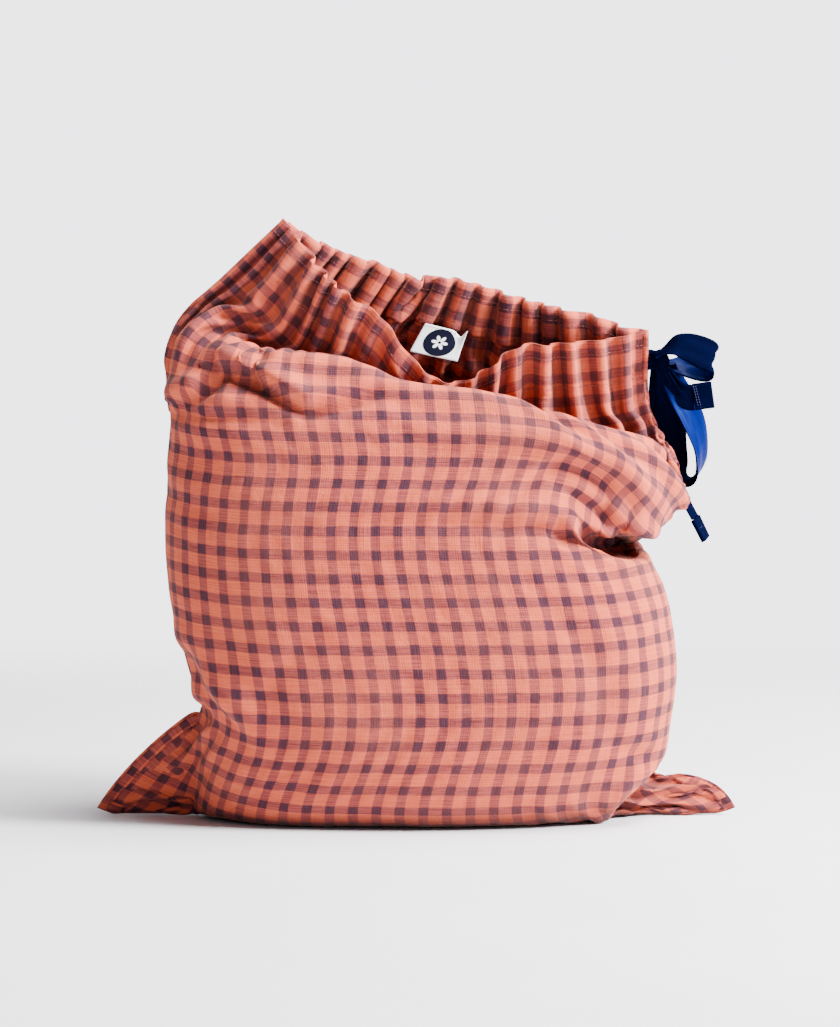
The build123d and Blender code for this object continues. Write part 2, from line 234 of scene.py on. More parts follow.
def filled_row(filling, height, side):
    """One row of the filled body: a boxy half ring, with flat ears beyond it near the floor."""
    seam_left, seam_right = (smooth_curve(seam, np.array([height]))[0] for seam in (LEFT_SEAM, RIGHT_SEAM))
    left, right, depth, middle_z, boxiness = smooth_curve(filling, np.array([height]))[0]
    angle = np.linspace(math.pi, 0, 400)
    along = np.sign(np.cos(angle)) * np.abs(np.cos(angle)) ** (2 / boxiness)
    bulge = np.abs(np.sin(angle)) ** (2 / boxiness)
    x = left + (right - left) * (along + 1) / 2
    ring = np.column_stack([x, side * depth * bulge, np.zeros_like(x)])
    left_ear = np.column_stack([np.linspace(seam_left[0], left, 60)[:-1], np.zeros(59), np.zeros(59)])
    right_ear = np.column_stack([np.linspace(right, seam_right[0], 60)[1:], np.zeros(59), np.zeros(59)])
    curve = np.vstack([left_ear, ring, right_ear])
    curve[:, 2] = middle_z
    for seam_x, seam_z, inner in ((*seam_left, left * 0.55), (*seam_right, right * 0.55)):
        reach = np.clip((curve[:, 0] - inner) / (seam_x - inner), 0, 1)
        curve[:, 2] += (seam_z - middle_z) * reach**2.5
    return even_arc(curve, across)


def panel_target(filling, upper, side):
    """Where a panel would lie without its small folds: rows x columns x 3, in mm. side -1 is the front."""
    heights = []
    curves = []
    for row in filling:
        heights.append(row[0])
        curves.append(filled_row(filling, row[0], side))
    for height, points in upper:
        curve = smooth_curve(points, across)
        curve[:, 1] *= side
        heights.append(height)
        curves.append(curve)
    return smooth_rows(np.array(heights, float), np.array(curves), up)


def press_creases(grid, creases):
    """Presses soft valleys into a panel along lines in its front view. The cloth above each one swells."""
    normal = surface_normals(grid)
    place = grid[..., [0, 2]]
    for width, roll, line in creases:
        points = np.array(line, float)
        nearest = np.full(grid.shape[:2], 1e9)
        above = np.zeros(grid.shape[:2])
        depth = np.zeros(grid.shape[:2])
        for start, end in zip(points[:-1], points[1:]):
            step = end[:2] - start[:2]
            share = np.clip(((place - start[:2]) @ step) / (step @ step), 0, 1)
            gap = place - (start[:2] + share[..., None] * step)
            distance = np.linalg.norm(gap, axis=2)
            closer = distance < nearest
            nearest[closer] = distance[closer]
            above[closer] = (distance * np.sign(gap[..., 1]))[closer]
            depth[closer] = (start[2] + share * (end[2] - start[2]))[closer]
        depth *= np.minimum(1, 12 * np.minimum(across_fine, 1 - across_fine))[None, :]
        valley = np.exp(-((above / width) ** 2))
        swelling = np.exp(-(((above - 2.2 * width) / (1.5 * width)) ** 2))
        grid = grid - normal * (depth * (valley - roll * swelling))[..., None]
    return grid


def crumple(grid, seed, amount):
    """Small soft dents all over, as in washed linen, at several sizes."""
    rng = np.random.default_rng(seed)
    dents = np.zeros(grid.shape[:2])
    for size, height in ((5, 0.22), (11, 0.5), (24, 0.8)):  # reach in cells, share of the height
        field = rng.normal(0, 1, grid.shape[:2])
        kernel = np.hanning(2 * size + 3)
        kernel /= kernel.sum()
        for axis in (0, 1):
            field = np.apply_along_axis(np.convolve, axis, field, kernel, mode="same")
        dents += field / field.std() * height
    fade = np.minimum(1, np.minimum(across_fine, 1 - across_fine) * 40)
    return grid + surface_normals(grid) * (dents * amount * fade[None, :])[..., None]


def surface_normals(grid):
    du = np.gradient(grid, axis=1)
    dv = np.gradient(grid, axis=0)
    normal = np.cross(du, dv)
    return normal / np.maximum(np.linalg.norm(normal, axis=2, keepdims=True), 1e-9)


def waves(count, seed):
    """Uneven folds across a panel: a smooth phase that speeds up and slows down, and its varying height."""
    rng = np.random.default_rng(seed)
    steps = rng.uniform(0.55, 1.45, count)
    marks = np.r_[0, np.cumsum(steps)] / steps.sum()
    phase = np.interp(across, marks, np.arange(count + 1)) * 2 * math.pi
    height = np.interp(across, np.linspace(0, 1, count + 1), rng.uniform(0.35, 1.5, count + 1))
    return np.sin(phase) * height


def add_gathers(target, seed):
    """Pleats that stand out of the collar and run on down into the neck, where they flatten out."""
    normal = surface_normals(target)
    fine = waves(18, seed)
    coarse = waves(9, seed + 50)
    edge_fade = smooth_step(0, 0.05, across) * smooth_step(1, 0.96, across)
    # Deeper towards the ribbon, where the mouth is drawn tight, and in the drape at the left.
    deeper = 1 + 0.5 * smooth_step(0.5, 0.8, across) + 0.5 * smooth_step(0.45, 0.2, across)
    for row in range(ROWS):
        gathered = float(smooth_step(318, 372, up[row]))
        merged = float(smooth_step(290, 330, up[row])) * (1 - 0.7 * gathered)
        height = (FINE_PLEAT * gathered * fine + COARSE_PLEAT * merged * coarse) * deeper * edge_fade
        target[row] += normal[row] * height[:, None]
    return target


class Cloth:
    """Two panels sewn together, relaxed until the cloth has its flat size again."""

    def __init__(self, targets):
        self.target = np.array(targets)
        self.place = self.target.copy()
        rng = np.random.default_rng(7)
        self.place += rng.normal(0, 0.25, self.place.shape)
        self.rest = CELL / MM

    def pull(self, first, second, rest, stiff_long, stiff_short):
        """Moves the ends of many threads at once so that each thread has its rest length."""
        gap = second - first
        length = np.linalg.norm(gap, axis=-1, keepdims=True)
        error = (length - rest) / np.maximum(length, 1e-6)
        error *= np.where(error > 0, stiff_long, stiff_short) * 0.5
        first += gap * error
        second -= gap * error

    def threads(self, grid, axis, skip, rest, stiff_long, stiff_short):
        size = grid.shape[axis]
        for start in range(2 * skip):
            index = np.arange(start, size - skip, 2 * skip)
            if axis == 1:
                first = grid[:, index]
                second = grid[:, index + skip]
            else:
                first = grid[:, :, index]
                second = grid[:, :, index + skip]
            self.pull(first, second, rest, stiff_long, stiff_short)
            if axis == 1:
                grid[:, index] = first
                grid[:, index + skip] = second
            else:
                grid[:, :, index] = first
                grid[:, :, index + skip] = second

    def diagonals(self, grid, stiffness):
        diagonal = self.rest * math.sqrt(2)
        for row in (0, 1):
            for column in (0, 1):
                low = grid[:, row:-1:2, column:-1:2]
                high = grid[:, row + 1::2, column + 1::2][:, :low.shape[1], :low.shape[2]]
                low_view = low[:, :high.shape[1], :high.shape[2]]
                self.pull(low_view, high, diagonal, stiffness, stiffness)
                other_low = grid[:, row:-1:2, column + 1::2]
                other_high = grid[:, row + 1::2, column:-1:2]
                rows_shared = min(other_low.shape[1], other_high.shape[1])
                columns_shared = min(other_low.shape[2], other_high.shape[2])
                self.pull(
                    other_low[:, :rows_shared, :columns_shared],
                    other_high[:, :rows_shared, :columns_shared],
                    diagonal, stiffness, stiffness,
                )

    def sew(self, grid):
        for edge in ((slice(None), 0), (slice(None), -1), (0, slice(None))):
            middle = (grid[0][edge] + grid[1][edge]) / 2
            grid[0][edge] = middle
            grid[1][edge] = middle

    def relax(self, steps, hold, sag, swell):
        """hold is how strongly each point keeps to its target, rows x columns, at the end of the steps."""
        grid = self.place
        for step in range(steps):
            grip = hold * (1 + 6 * (1 - step / steps) ** 2)
            grid += (self.target - grid) * np.minimum(grip, 1)[None, :, :, None]
            grid[..., 2] -= sag
            for panel, side in ((0, 1), (1, -1)):
                grid[panel] += surface_normals(grid[panel]) * swell[:, :, None] * side
            self.threads(grid, 1, 1, self.rest, 1.0, 0.9)
            self.threads(grid, 2, 1, self.rest, 1.0, 0.9)
            self.diagonals(grid, 0.35)
            self.threads(grid, 1, 2, 2 * self.rest, 0.0, 0.45)
            self.threads(grid, 1, 4, 4 * self.rest, 0.0, 0.25)
            self.threads(grid, 2, 2, 2 * self.rest, 0.0, 0.2)
            grid[0, ..., 1] = np.minimum(grid[0, ..., 1], -0.35)
            grid[1, UNDER:, :, 1] = np.maximum(grid[1, UNDER:, :, 1], 0.35)
            self.sew(grid)
            grid[..., 2] = np.maximum(grid[..., 2], 0.5)
        self.place = grid


def smooth_body(panels):
    """Takes the finest ripples out of the filled part. The gathers and the seams stay as they are."""
    inner = np.minimum(1, 25 * np.minimum(across, 1 - across))
    share = (1 - smooth_step(300, 335, up))[:, None] * inner[None, :]
    for _ in range(6):
        middle = panels[:, 1:-1, 1:-1]
        around = (panels[:, :-2, 1:-1] + panels[:, 2:, 1:-1] + panels[:, 1:-1, :-2] + panels[:, 1:-1, 2:]) / 4
        panels[:, 1:-1, 1:-1] = middle + (around - middle) * 0.6 * share[None, 1:-1, 1:-1, None]
    return panels


def relaxed_panels():
    """The shapes of the front and the back panel, in metres."""
    front = add_gathers(panel_target(FRONT_FILLING, FRONT_UPPER, -1), 3)
    back = add_gathers(panel_target(BACK_FILLING, BACK_UPPER, 1), 11)
    cloth = Cloth([front, back])
    row_hold = np.interp(up, [0, 60, 120, 280, 330, 420], [0.01, 0.006, 0.004, 0.006, 0.015, 0.03])
    edge = np.maximum(smooth_step(0.05, 0, across), smooth_step(0.95, 1, across))
    hold = row_hold[:, None] + 0.12 * edge[None, :]
    swell = np.repeat(np.interp(up, [0, 60, 250, 300], [0, 0.02, 0.02, 0])[:, None], COLUMNS, axis=1)
    cloth.relax(RELAX_STEPS, hold, SAG, swell)
    shapes = []
    cloth.place = smooth_body(cloth.place)
    for panel, creases, seed in ((cloth.place[0], FRONT_CREASES, 21), (cloth.place[1], [], 22)):
        fine = smooth_rows(up, panel, up_fine)
        fine = smooth_rows(across, fine.transpose(1, 0, 2), across_fine).transpose(1, 0, 2)
        fine = press_creases(fine, creases)
        fine = crumple(fine, seed, CRUMPLE)
        fine[..., 2] = np.maximum(fine[..., 2], FLOOR_GAP)
        shapes.append(fine * MM)
    seam = (shapes[0][:, [0, -1]] + shapes[1][:, [0, -1]]) / 2
    shapes[0][:, [0, -1]] = seam
    shapes[1][:, [0, -1]] = seam
    return shapes


# ---- mesh helpers -------------------------------------------------------------
def new_object(name, mesh, *materials):
    piece = bpy.data.objects.new(name, mesh)
    bpy.context.scene.collection.objects.link(piece)
    for material in materials:
        mesh.materials.append(material)
    mesh.polygons.foreach_set("use_smooth", [True] * len(mesh.polygons))
    return piece


def grid_mesh(name, grid, flat):
    """A sheet of quads from a rows x columns grid of points. Its UV map is its flat pattern in metres."""
    rows, columns = grid.shape[:2]
    index = np.arange(rows * columns).reshape(rows, columns)
    quads = np.stack([index[:-1, :-1], index[:-1, 1:], index[1:, 1:], index[1:, :-1]], axis=-1).reshape(-1, 4)
    mesh = bpy.data.meshes.new(name)
    mesh.from_pydata(grid.reshape(-1, 3).tolist(), [], quads.tolist())
    layer = mesh.uv_layers.new(name="flat")
    corners = flat.reshape(-1, 2)[quads.reshape(-1)]
    layer.data.foreach_set("uv", corners.reshape(-1))
    mesh.update()
    return mesh


# ---- materials ------------------------------------------------------------------
class Nodes:
    """Short names for building a shader's nodes."""

    def __init__(self, name):
        self.material = bpy.data.materials.new(name)
        self.material.use_nodes = True
        self.tree = self.material.node_tree
        self.shader = self.tree.nodes["Principled BSDF"]

    def surface(self, constants):
        """Sets the shader's sockets that hold one value each."""
        for socket, value in constants.items():
            self.shader.inputs[socket].default_value = value

    def add(self, kind, **settings):
        node = self.tree.nodes.new(kind)
        for key, value in settings.items():
            setattr(node, key, value)
        return node

    def link(self, output, socket):
        self.tree.links.new(output, socket)

    def value(self, socket, value):
        if isinstance(value, (int, float, tuple)):
            socket.default_value = value
        else:
            self.link(value, socket)

    def math(self, operation, first, second=0.0, third=None):
        node = self.add("ShaderNodeMath", operation=operation)
        self.value(node.inputs[0], first)
        self.value(node.inputs[1], second)
        if third is not None:
            self.value(node.inputs[2], third)
        return node.outputs[0]

    def noise(self, vector, scale, detail=2.0, rough=0.5):
        node = self.add("ShaderNodeTexNoise")
        self.link(vector, node.inputs["Vector"])
        node.inputs["Scale"].default_value = scale
        node.inputs["Detail"].default_value = detail
        node.inputs["Roughness"].default_value = rough
        return node.outputs["Fac"]

    def stretch(self, vector, scale):
        node = self.add("ShaderNodeMapping")
        self.link(vector, node.inputs["Vector"])
        node.inputs["Scale"].default_value = scale
        return node.outputs["Vector"]

    def ramp(self, value, low, high):
        node = self.add("ShaderNodeMapRange", interpolation_type="SMOOTHSTEP")
        self.link(value, node.inputs["Value"])
        node.inputs["From Min"].default_value = low
        node.inputs["From Max"].default_value = high
        return node.outputs["Result"]

    def bump(self, height, strength, distance, under=None):
        """Relief from a height, laid over another relief if one is given."""
        node = self.add("ShaderNodeBump")
        node.inputs["Strength"].default_value = strength
        node.inputs["Distance"].default_value = distance
        self.link(height, node.inputs["Height"])
        if under is not None:
            self.link(under, node.inputs["Normal"])
        return node.outputs["Normal"]

    def threads(self, vector, direction):
        """Evenly spaced yarns of the weave."""
        node = self.add("ShaderNodeTexWave", bands_direction=direction)
        self.link(vector, node.inputs["Vector"])
        node.inputs["Scale"].default_value = 220
        node.inputs["Distortion"].default_value = 1.5
        return node.outputs["Fac"]

    def mix(self, factor, first, second):
        node = self.add("ShaderNodeMix", data_type="RGBA")
        self.value(node.inputs["Factor"], factor)
        self.value(node.inputs["A"], first)
        self.value(node.inputs["B"], second)
        return node.outputs["Result"]


def colour(red, green, blue):
    """An sRGB colour from 0 to 255, as the shader's linear one."""
    def linear(value):
        value /= 255
        return value / 12.92 if value < 0.04045 else ((value + 0.055) / 1.055) ** 2.4
    return (linear(red), linear(green), linear(blue), 1.0)


CHECK = 0.014
# strength of the shade painted into the cloth's colour in its folds
PAINTED_FOLD_SHADE = 0.75
STRIPE_SHARE = 0.42


def gingham():
    n = Nodes("gingham_linen")
    flat = n.add("ShaderNodeUVMap", uv_map="flat").outputs["UV"]
    parts = n.add("ShaderNodeSeparateXYZ")
    n.link(flat, parts.inputs[0])
    wander = n.math("MULTIPLY", n.math("SUBTRACT", n.noise(flat, 45, 2), 0.5), 0.0016)
    fray = n.math("MULTIPLY", n.math("SUBTRACT", n.noise(flat, 900, 2), 0.5), 0.0011)
    shake = n.math("ADD", wander, fray)

    def stripe(place):
        turn = n.math("FRACT", n.math("DIVIDE", n.math("ADD", place, shake), CHECK))
        distance = n.math("ABSOLUTE", n.math("SUBTRACT", turn, 0.5))
        half = STRIPE_SHARE / 2
        return n.ramp(distance, half + 0.03, half - 0.03)

    warp = stripe(parts.outputs["X"])
    weft = stripe(parts.outputs["Y"])
    yarns_across = n.noise(n.stretch(flat, (40, 1500, 1)), 1.0, 3)
    yarns_up = n.noise(n.stretch(flat, (1500, 40, 1)), 1.0, 3)
    ground = n.mix(n.ramp(yarns_across, 0.3, 0.7), colour(206, 94, 66), colour(192, 78, 54))
    ground = n.mix(n.math("MULTIPLY", n.ramp(yarns_up, 0.45, 0.75), 0.3), ground, colour(174, 70, 54))
    single = n.mix(n.ramp(yarns_across, 0.35, 0.65), colour(156, 70, 62), colour(122, 50, 52))
    dark = n.mix(n.ramp(yarns_up, 0.3, 0.7), colour(74, 38, 52), colour(54, 26, 38))
    warp_only = n.mix(warp, ground, single)
    weft_only = n.mix(weft, warp_only, single)
    both = n.math("MULTIPLY", warp, weft)
    cloth = n.mix(both, weft_only, dark)
    slub_line = n.noise(n.stretch(flat, (30, 620, 1)), 1.0, 2)
    streak = n.math("MULTIPLY", n.ramp(slub_line, 0.62, 0.7), weft)
    cloth = n.mix(n.math("MULTIPLY", streak, 0.55), cloth, colour(70, 30, 40))
    tone = n.noise(flat, 14, 3)
    cloth = n.mix(n.math("MULTIPLY", n.ramp(tone, 0.35, 0.75), 0.10), cloth, colour(220, 118, 90))
    # Painted shade: in the folds, where ambient occlusion finds little light getting in, the base colour is
    # darkened towards a dark plum.
    painted_shade_occlusion = n.add("ShaderNodeAmbientOcclusion", samples=6)
    painted_shade_occlusion.inputs["Distance"].default_value = 0.016
    shade = n.math("MULTIPLY", n.ramp(painted_shade_occlusion.outputs["AO"], 0.85, 0.25), PAINTED_FOLD_SHADE)
    cloth = n.mix(shade, cloth, colour(44, 16, 22))
    n.link(cloth, n.shader.inputs["Base Color"])
    n.surface({
        "Roughness": 0.92,
        "Specular IOR Level": 0.18,
        "Sheen Weight": 0.12,
        "Sheen Roughness": 0.5,
        "Sheen Tint": colour(255, 205, 185),
    })
    weave = n.math("ADD", n.threads(flat, "Y"), n.threads(flat, "X"))
    rough_yarn = n.math("ADD", n.math("MULTIPLY", yarns_across, 1.6), n.math("MULTIPLY", yarns_up, 1.6))
    height = n.math("ADD", n.math("MULTIPLY", weave, 0.25), rough_yarn)
    creased = n.noise(flat, 60, 5, 0.6)
    yarn_relief = n.bump(height, 0.55, 0.00035)
    n.link(n.bump(creased, 0.5, 0.003, under=yarn_relief), n.shader.inputs["Normal"])
    return n.material


gingham_linen = gingham()


def velvet_pile():
    n = Nodes("navy_velvet")
    flat = n.add("ShaderNodeUVMap", uv_map="flat").outputs["UV"]
    pile = n.noise(n.stretch(flat, (2600, 2600, 1)), 1.0, 2)
    brushed = n.noise(n.stretch(flat, (160, 50, 1)), 1.0, 3)
    dark = n.mix(n.ramp(brushed, 0.3, 0.75), colour(0, 1, 12), colour(0, 3, 26))
    n.link(n.mix(n.ramp(pile, 0.4, 0.8), dark, colour(1, 5, 48)), n.shader.inputs["Base Color"])
    n.surface({
        "Roughness": 0.85,
        "Specular IOR Level": 0.01,
        "Sheen Weight": 0.012,
        "Sheen Roughness": 0.3,
        "Sheen Tint": colour(10, 40, 190),
    })
    n.link(n.bump(pile, 0.5, 0.0003), n.shader.inputs["Normal"])
    return n.material


def ribbon_satin():
    n = Nodes("blue_satin")
    flat = n.add("ShaderNodeUVMap", uv_map="flat").outputs["UV"]
    floats = n.noise(n.stretch(flat, (2400, 120, 1)), 1.0, 3)
    tone = n.mix(n.ramp(floats, 0.3, 0.7), colour(0, 8, 62), colour(0, 15, 84))
    n.link(tone, n.shader.inputs["Base Color"])
    n.surface({
        "Roughness": 0.38,
        "Anisotropic": 0.5,
        "Specular IOR Level": 0.1,
        "Specular Tint": colour(70, 130, 255),
        "Sheen Weight": 0.03,
        "Sheen Tint": colour(20, 80, 230),
    })
    n.link(n.bump(floats, 0.35, 0.00015), n.shader.inputs["Normal"])
    return n.material


def woven_label_satin():
    n = Nodes("white_satin")
    flat = n.add("ShaderNodeUVMap", uv_map="flat").outputs["UV"]
    ribs = n.noise(n.stretch(flat, (260, 3400, 1)), 1.0, 2)
    tone = n.mix(n.ramp(ribs, 0.3, 0.7), colour(226, 228, 232), colour(246, 247, 250))
    n.link(tone, n.shader.inputs["Base Color"])
    n.surface({"Roughness": 0.42, "Specular IOR Level": 0.4, "Sheen Weight": 0.2})
    n.link(n.bump(ribs, 0.3, 0.0001), n.shader.inputs["Normal"])
    return n.material


def emblem_print():
    """Navy print with a plain six-petal flower left white."""
    n = Nodes("label_print")
    flat = n.add("ShaderNodeUVMap", uv_map="flat").outputs["UV"]
    parts = n.add("ShaderNodeSeparateXYZ")
    n.link(flat, parts.inputs[0])
    x, y = parts.outputs["X"], parts.outputs["Y"]
    radius = n.math("SQRT", n.math("ADD", n.math("MULTIPLY", x, x), n.math("MULTIPLY", y, y)))
    angle = n.math("ARCTAN2", y, x)
    lobes = n.math("ABSOLUTE", n.math("COSINE", n.math("MULTIPLY", angle, 3.0)))
    petal = n.math("MULTIPLY_ADD", lobes, 0.42, 0.10)
    inside = n.ramp(n.math("SUBTRACT", petal, radius), -0.02, 0.02)
    core = n.ramp(radius, 0.09, 0.12)
    weave = n.noise(n.stretch(flat, (30, 220, 1)), 1.0, 2)
    navy = n.mix(n.ramp(weave, 0.3, 0.7), colour(0, 1, 20), colour(1, 4, 30))
    flower = n.math("MULTIPLY", inside, core)
    n.link(n.mix(flower, navy, colour(236, 238, 243)), n.shader.inputs["Base Color"])
    n.surface({"Roughness": 0.8, "Specular IOR Level": 0.1})
    return n.material


def sewing_thread(name, shade):
    n = Nodes(name)
    place = n.add("ShaderNodeTexCoord").outputs["Object"]
    twist = n.noise(place, 2600, 2)
    darker = colour(*(value * 0.75 for value in shade))
    n.link(n.mix(n.ramp(twist, 0.3, 0.7), colour(*shade), darker), n.shader.inputs["Base Color"])
    n.surface({"Roughness": 0.7, "Sheen Weight": 0.1})
    return n.material


velvet = velvet_pile()
satin = ribbon_satin()
label_satin = woven_label_satin()
label_print = emblem_print()
thread = sewing_thread("coral_thread", (168, 78, 66))
thread_white = sewing_thread("white_thread", (226, 226, 230))
thread_blue = sewing_thread("blue_thread", (4, 16, 84))


# ---- cloth pieces --------------------------------------------------------------
front_shape, back_shape = relaxed_panels()
front_out = surface_normals(front_shape)
back_out = -surface_normals(back_shape)
HEM_DEPTH = 30.0  # rim to the turned-down hem's edge
UPPER_STITCH = 8.0  # rim to the upper row of stitches
LOWER_STITCH = 26.5
SHEET_THICK = 0.0006
CHANNEL_ROWS = slice(
    int(np.searchsorted(up_fine, RIM - LOWER_STITCH + 1.5)),
    int(np.searchsorted(up_fine, RIM - UPPER_STITCH - 1)),
)
STRAND_COLUMNS = 40  # the part of the ribbon at the exit that slides out with the bow
SEAM_ALLOWANCE = 0.010


def follow_cloth(piece):
    """Bakes the piece's placement into its mesh."""
    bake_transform(piece)


def thicken(piece, amount, offset=-1, material_offset=0):
    thick = piece.modifiers.new("thickness", "SOLIDIFY")
    thick.thickness = amount
    thick.offset = offset
    thick.material_offset = material_offset
    thick.material_offset_rim = material_offset


def flat_pattern(rows, columns):
    flat_x, flat_y = np.meshgrid(across_fine[columns] * CLOTH_WIDTH, up_fine[rows] * MM)
    return np.stack([flat_x, flat_y], axis=-1)


def make_panel(name, shape, reverse, shift):
    everything = slice(None)
    flat = flat_pattern(everything, everything) + np.array([shift, 0])
    if reverse:
        shape = shape[:, ::-1]
    piece = new_object(name, grid_mesh(name, shape, flat), gingham_linen)
    thicken(piece, SHEET_THICK)
    follow_cloth(piece)
    return piece


def lining_strip(name, shape, out, rows, columns, inset, material, bends=True):
    """A strip of cloth that lies inside a panel, over some of its rows and columns."""
    area = shape[rows, columns] - out[rows, columns] * inset
    area[..., 2] = np.maximum(area[..., 2], FLOOR_GAP * MM)
    piece = new_object(name, grid_mesh(name, area, flat_pattern(rows, columns) + 0.004), material)
    thicken(piece, SHEET_THICK, offset=0)
    if bends:
        follow_cloth(piece)
    return piece


def make_hem(name, shape, out):
    """The turned-down hem: it leaves the rim in a narrow fold and lies inside the panel."""
    first = int(np.searchsorted(up_fine, RIM - HEM_DEPTH))
    rows = slice(first, None)
    inset = np.full(len(up_fine) - first, 0.0017)
    inset[-2:] = (0.0012, 0.0002)
    area = shape[rows] - out[rows] * inset[:, None, None]
    area[-1] += np.array(collar_up) * 0.0006
    flat = flat_pattern(rows, slice(None))
    flat[..., 1] = 2 * CLOTH_HEIGHT - flat[..., 1]
    piece = new_object(name, grid_mesh(name, area, flat), gingham_linen)
    thicken(piece, SHEET_THICK, offset=0)
    follow_cloth(piece)
    return piece


def cloth_point(grid, share, height):
    """The point of a panel's grid at a share across and a height up its flat pattern."""
    row = np.interp(height, up_fine, np.arange(len(up_fine)))
    column = share * (len(across_fine) - 1)
    row_low = min(int(row), grid.shape[0] - 2)
    column_low = min(int(column), grid.shape[1] - 2)
    row_part = row - row_low
    column_part = column - column_low
    low = grid[row_low, column_low] * (1 - column_part) + grid[row_low, column_low + 1] * column_part
    high = grid[row_low + 1, column_low] * (1 - column_part) + grid[row_low + 1, column_low + 1] * column_part
    return low * (1 - row_part) + high * row_part


def stitch_mesh(name, stitches, radius=0.00022):
    """Each stitch is a short rounded length of thread between two points."""
    points = []
    faces = []
    sides = 5
    for start, end in stitches:
        line = Vector(end) - Vector(start)
        turn = line.to_track_quat("Z", "Y").to_matrix()
        first = len(points)
        for share, size in ((0.0, 0.35), (0.15, 1.0), (0.85, 1.0), (1.0, 0.35)):
            for k in range(sides):
                angle = 2 * math.pi * k / sides
                spoke = Vector((math.cos(angle), math.sin(angle), 0)) * radius * size
                points.append(Vector(start) + line * share + turn @ spoke)
        for ring in range(3):
            for k in range(sides):
                low = first + ring * sides
                following = (k + 1) % sides
                faces.append((low + k, low + following, low + sides + following, low + sides + k))
        faces.append(tuple(first + k for k in reversed(range(sides))))
        faces.append(tuple(first + 3 * sides + k for k in range(sides)))
    mesh = bpy.data.meshes.new(name)
    mesh.from_pydata([tuple(point) for point in points], [], faces)
    return mesh


def stitch_rows(name, shape, out):
    """Both rows of the channel's stitching, seen outside and, through the hem, inside."""
    stitches = []
    count = int(CLOTH_WIDTH / 0.003)
    for height in (RIM - UPPER_STITCH, RIM - LOWER_STITCH):
        for lift in (0.0002, -0.0022):
            for k in range(1, count - 1):
                ends = []
                for share in ((k + 0.15) / count, (k + 0.85) / count):
                    point = cloth_point(shape, share, height) + cloth_point(out, share, height) * lift
                    ends.append(tuple(point))
                stitches.append(ends)
    piece = new_object(name, stitch_mesh(name, stitches), thread)
    follow_cloth(piece)
    return piece


def make_cloth_pieces():
    front_cloth = make_panel("front_cloth", front_shape, False, 0.0)
    back_cloth = make_panel("back_cloth", back_shape, True, 0.005)
    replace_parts(front_cloth, "front_panel", "front_collar")
    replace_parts(back_cloth, "back_panel", "back_collar")
    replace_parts(make_hem("front_hem", front_shape, front_out), "front_facing")
    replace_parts(make_hem("back_hem", back_shape, back_out), "back_facing")
    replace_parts(stitch_rows("front_stitches", front_shape, front_out), "front_channel_stitching")
    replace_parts(stitch_rows("back_stitches", back_shape, back_out), "back_channel_stitching")

    hidden_width = slice(3, -STRAND_COLUMNS)
    for name, shape, out in (("front_ribbon", front_shape, front_out), ("back_ribbon", back_shape, back_out)):
        strip = lining_strip(name, shape, out, CHANNEL_ROWS, hidden_width, 0.0010, velvet)
        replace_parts(strip, "channel_ribbon")

    below_hem = slice(6, int(np.searchsorted(up_fine, RIM - HEM_DEPTH)))
    seam_columns = int(SEAM_ALLOWANCE / (CLOTH_WIDTH / (len(across_fine) - 1)))
    for name, node, columns in (
        ("left_allowance", "left_side_seam", slice(1, seam_columns)),
        ("right_allowance", "right_side_seam", slice(-seam_columns, -1)),
    ):
        strip = lining_strip(name, back_shape, back_out, below_hem, columns, 0.0012, gingham_linen)
        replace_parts(strip, node)
    bottom_rows = slice(1, seam_columns)
    strip = lining_strip(
        "bottom_allowance", back_shape, back_out, bottom_rows, slice(4, -4), 0.0012, gingham_linen
    )
    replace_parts(strip, "bottom_seam")


make_cloth_pieces()


# ---- bar tacks at the ribbon's exit ----------------------------------------------
def make_bar_tacks():
    stitches = []
    for height in (RIM - UPPER_STITCH + 3, RIM - LOWER_STITCH - 1.5):
        for k in range(7):
            rise = (k - 3) * 0.5
            proud = cloth_point(front_out, 0.992, height) * 0.0004
            front = cloth_point(front_shape, 0.992, height + rise) + proud
            back = cloth_point(front_shape, 0.999, height + rise) + proud
            stitches.append((tuple(front), tuple(back)))
    piece = new_object("bar_tacks", stitch_mesh("bar_tacks", stitches, 0.0003), thread)
    follow_cloth(piece)
    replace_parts(piece, "exit_bar_tacks")


make_bar_tacks()


# ---- label ------------------------------------------------------------------------
# Its corners in millimetres. It hangs from the hem inside the back of the mouth, its upper right corner
# curled.
LABEL_CORNERS = {
    "top left": (5, 29.5, 298),
    "top right": (30, 26.5, 292),
    "foot left": (-4.5, 22.5, 281),
    "foot right": (24.5, 19.5, 275),
}


def label_point(u, v):
    """A point of the label: u runs 0 to 1 from left to right, v 0 to 1 from foot to top."""
    corner = {name: Vector(place) for name, place in LABEL_CORNERS.items()}
    foot = corner["foot left"].lerp(corner["foot right"], u)
    top = corner["top left"].lerp(corner["top right"], u)
    point = foot.lerp(top, v)
    belly = math.sin(math.pi * u) * 1.3 * (1 - 0.5 * v)
    dip = math.exp(-(((u - 0.86) / 0.1) ** 2)) * v ** 3 * 3.0
    curl = max(0, u - 0.86) / 0.14 * v ** 2
    point += Vector((0.5 * curl, -belly - 3.5 * curl, 1.6 * curl - dip))
    return point * MM


